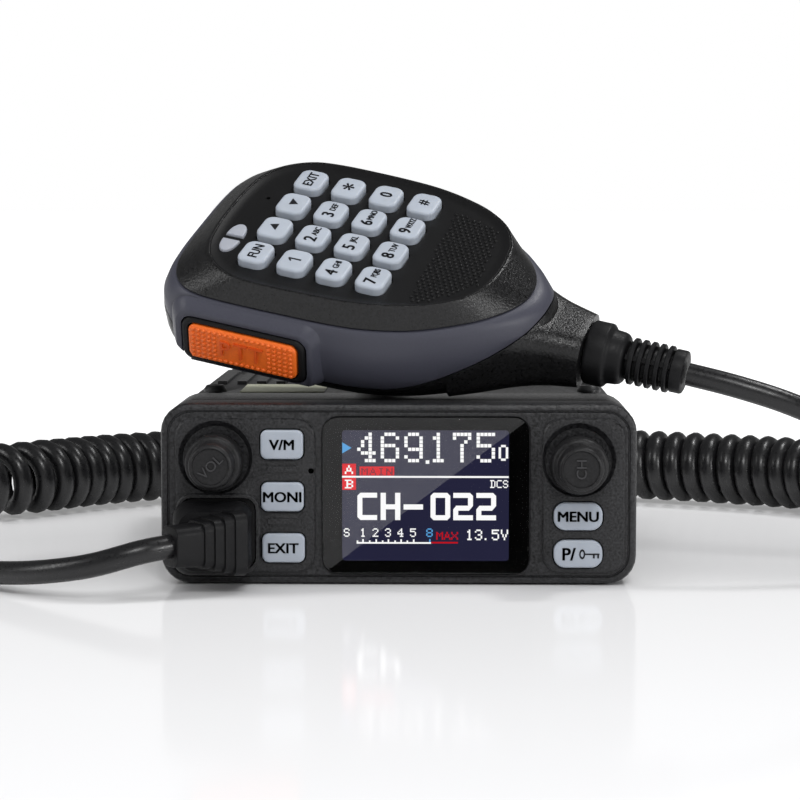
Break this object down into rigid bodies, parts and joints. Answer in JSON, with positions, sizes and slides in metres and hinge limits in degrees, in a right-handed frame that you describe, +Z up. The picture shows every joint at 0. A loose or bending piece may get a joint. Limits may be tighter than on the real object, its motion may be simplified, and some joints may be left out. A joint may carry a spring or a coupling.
{
  "type": "mobile transceiver",
  "caption": "Compact radio head on a finned chassis with colour display, two knobs and keys, and a keypad hand microphone on a curly cord.",
  "frame": {"origin": "on the chassis's flat underside, on the radio's middle line, 60 mm behind the front panel's face", "axes": "+Z up, -Y out of the front panel, +X to the right of someone who faces the panel"},
  "size_m": [0.2672, 0.1934, 0.0895],
  "materials": {
    "panel_black": "fine-grained moulded plastic",
    "shell_black": "fine-grained moulded plastic",
    "cast_black": "satin black paint on die-cast aluminium",
    "inner_black": "plain",
    "rubber_black": "satin rubber",
    "key_grey": "translucent silicone, pale blue-grey",
    "band_grey": "satin",
    "ptt_orange": "matte, raised dots",
    "lens_glass": "gloss",
    "nickel": "nickel plated",
    "board_green": "solder mask",
    "label_white": "blank label"
  },
  "bodies": {
    "root": {"front_panel": "panel_black", "head_shell": "shell_black", "display_lens": "lens_glass", "display_module": "inner_black", "control_board": "board_green", "vol_potentiometer": "inner_black", "ch_encoder": "inner_black", "mic_jack": "inner_black", "chassis": "cast_black", "top_cover": "cast_black", "main_board": "board_green", "loudspeaker": "inner_black", "antenna_socket": "nickel", "power_inlet": "inner_black", "speaker_jack": "nickel", "label_plate": "label_white", "cover_screw_1": "cast_black", "cover_screw_2": "cast_black", "cover_screw_3": "cast_black", "cover_screw_4": "cast_black", "mic_plug": "rubber_black", "cord_plug_end": "rubber_black", "cord_coil": "rubber_black", "cord_mic_end": "rubber_black"},
    "vol_knob": {"vol_knob": "shell_black"},
    "ch_knob": {"ch_knob": "shell_black"},
    "vm_button": {"vm_button": "key_grey"},
    "moni_button": {"moni_button": "key_grey"},
    "exit_button": {"exit_button": "key_grey"},
    "menu_button": {"menu_button": "key_grey"},
    "key_lock_button": {"key_lock_button": "key_grey"},
    "mic": {"mic_front_shell": "shell_black", "mic_band": "band_grey", "mic_back_shell": "shell_black", "mic_keypad_board": "board_green", "ptt_switch": "inner_black", "mic_capsule": "inner_black", "mic_light_near": "key_grey", "mic_light_far": "key_grey", "ptt_frame": "rubber_black", "mic_hanger_button": "shell_black", "strain_relief": "rubber_black"},
    "ptt": {"ptt_pad": "ptt_orange"},
    "mic_key_fun": {"mic_key_fun": "key_grey"},
    "mic_key_up": {"mic_key_up": "key_grey"},
    "mic_key_down": {"mic_key_down": "key_grey"},
    "mic_key_exit": {"mic_key_exit": "key_grey"},
    "mic_key_1": {"mic_key_1": "key_grey"},
    "mic_key_2": {"mic_key_2": "key_grey"},
    "mic_key_3": {"mic_key_3": "key_grey"},
    "mic_key_star": {"mic_key_star": "key_grey"},
    "mic_key_4": {"mic_key_4": "key_grey"},
    "mic_key_5": {"mic_key_5": "key_grey"},
    "mic_key_6": {"mic_key_6": "key_grey"},
    "mic_key_0": {"mic_key_0": "key_grey"},
    "mic_key_7": {"mic_key_7": "key_grey"},
    "mic_key_8": {"mic_key_8": "key_grey"},
    "mic_key_9": {"mic_key_9": "key_grey"},
    "mic_key_hash": {"mic_key_hash": "key_grey"}
  },
  "joints": [
    {"name": "vol_turn", "type": "hinge", "parent": "root", "child": "vol_knob", "pos_m": [-0.0384, -0.06, 0.0262], "axis": [0, -1, 0], "range_deg": [-150, 150]},
    {"name": "ch_turn", "type": "hinge", "parent": "root", "child": "ch_knob", "pos_m": [0.0378, -0.06, 0.0258], "axis": [0, -1, 0], "continuous": true},
    {"name": "vm_press", "type": "slide", "parent": "root", "child": "vm_button", "axis": [0, 1, 0], "range_m": [0, 0.0008], "stiffness_N_per_m": 300, "springref_m": -0.0005},
    {"name": "moni_press", "type": "slide", "parent": "root", "child": "moni_button", "axis": [0, 1, 0], "range_m": [0, 0.0008], "stiffness_N_per_m": 300, "springref_m": -0.0005},
    {"name": "exit_press", "type": "slide", "parent": "root", "child": "exit_button", "axis": [0, 1, 0], "range_m": [0, 0.0008], "stiffness_N_per_m": 300, "springref_m": -0.0005},
    {"name": "menu_press", "type": "slide", "parent": "root", "child": "menu_button", "axis": [0, 1, 0], "range_m": [0, 0.0008], "stiffness_N_per_m": 300, "springref_m": -0.0005},
    {"name": "key_lock_press", "type": "slide", "parent": "root", "child": "key_lock_button", "axis": [0, 1, 0], "range_m": [0, 0.0008], "stiffness_N_per_m": 300, "springref_m": -0.0005},
    {"name": "mic_lift", "type": "slide", "parent": "root", "child": "mic", "axis": [0, 0, 1], "range_m": [0, 0.05]},
    {"name": "ptt_press", "type": "slide", "parent": "mic", "child": "ptt", "axis": [0.3397, 0.7957, 0.5014], "range_m": [0, 0.0015], "stiffness_N_per_m": 400, "springref_m": -0.0005},
    {"name": "mic_key_fun_press", "type": "slide", "parent": "mic", "child": "mic_key_fun", "axis": [-0.0157, 0.5379, -0.8429], "range_m": [0, 0.0008], "stiffness_N_per_m": 200, "springref_m": -0.0005},
    {"name": "mic_key_up_press", "type": "slide", "parent": "mic", "child": "mic_key_up", "axis": [-0.0157, 0.5379, -0.8429], "range_m": [0, 0.0008], "stiffness_N_per_m": 200, "springref_m": -0.0005},
    {"name": "mic_key_down_press", "type": "slide", "parent": "mic", "child": "mic_key_down", "axis": [-0.0157, 0.5379, -0.8429], "range_m": [0, 0.0008], "stiffness_N_per_m": 200, "springref_m": -0.0005},
    {"name": "mic_key_exit_press", "type": "slide", "parent": "mic", "child": "mic_key_exit", "axis": [-0.0157, 0.5379, -0.8429], "range_m": [0, 0.0008], "stiffness_N_per_m": 200, "springref_m": -0.0005},
    {"name": "mic_key_1_press", "type": "slide", "parent": "mic", "child": "mic_key_1", "axis": [-0.0157, 0.5379, -0.8429], "range_m": [0, 0.0008], "stiffness_N_per_m": 200, "springref_m": -0.0005},
    {"name": "mic_key_2_press", "type": "slide", "parent": "mic", "child": "mic_key_2", "axis": [-0.0157, 0.5379, -0.8429], "range_m": [0, 0.0008], "stiffness_N_per_m": 200, "springref_m": -0.0005},
    {"name": "mic_key_3_press", "type": "slide", "parent": "mic", "child": "mic_key_3", "axis": [-0.0157, 0.5379, -0.8429], "range_m": [0, 0.0008], "stiffness_N_per_m": 200, "springref_m": -0.0005},
    {"name": "mic_key_star_press", "type": "slide", "parent": "mic", "child": "mic_key_star", "axis": [-0.0157, 0.5379, -0.8429], "range_m": [0, 0.0008], "stiffness_N_per_m": 200, "springref_m": -0.0005},
    {"name": "mic_key_4_press", "type": "slide", "parent": "mic", "child": "mic_key_4", "axis": [-0.0157, 0.5379, -0.8429], "range_m": [0, 0.0008], "stiffness_N_per_m": 200, "springref_m": -0.0005},
    {"name": "mic_key_5_press", "type": "slide", "parent": "mic", "child": "mic_key_5", "axis": [-0.0157, 0.5379, -0.8429], "range_m": [0, 0.0008], "stiffness_N_per_m": 200, "springref_m": -0.0005},
    {"name": "mic_key_6_press", "type": "slide", "parent": "mic", "child": "mic_key_6", "axis": [-0.0157, 0.5379, -0.8429], "range_m": [0, 0.0008], "stiffness_N_per_m": 200, "springref_m": -0.0005},
    {"name": "mic_key_0_press", "type": "slide", "parent": "mic", "child": "mic_key_0", "axis": [-0.0157, 0.5379, -0.8429], "range_m": [0, 0.0008], "stiffness_N_per_m": 200, "springref_m": -0.0005},
    {"name": "mic_key_7_press", "type": "slide", "parent": "mic", "child": "mic_key_7", "axis": [-0.0157, 0.5379, -0.8429], "range_m": [0, 0.0008], "stiffness_N_per_m": 200, "springref_m": -0.0005},
    {"name": "mic_key_8_press", "type": "slide", "parent": "mic", "child": "mic_key_8", "axis": [-0.0157, 0.5379, -0.8429], "range_m": [0, 0.0008], "stiffness_N_per_m": 200, "springref_m": -0.0005},
    {"name": "mic_key_9_press", "type": "slide", "parent": "mic", "child": "mic_key_9", "axis": [-0.0157, 0.5379, -0.8429], "range_m": [0, 0.0008], "stiffness_N_per_m": 200, "springref_m": -0.0005},
    {"name": "mic_key_hash_press", "type": "slide", "parent": "mic", "child": "mic_key_hash", "axis": [-0.0157, 0.5379, -0.8429], "range_m": [0, 0.0008], "stiffness_N_per_m": 200, "springref_m": -0.0005}
  ]
}
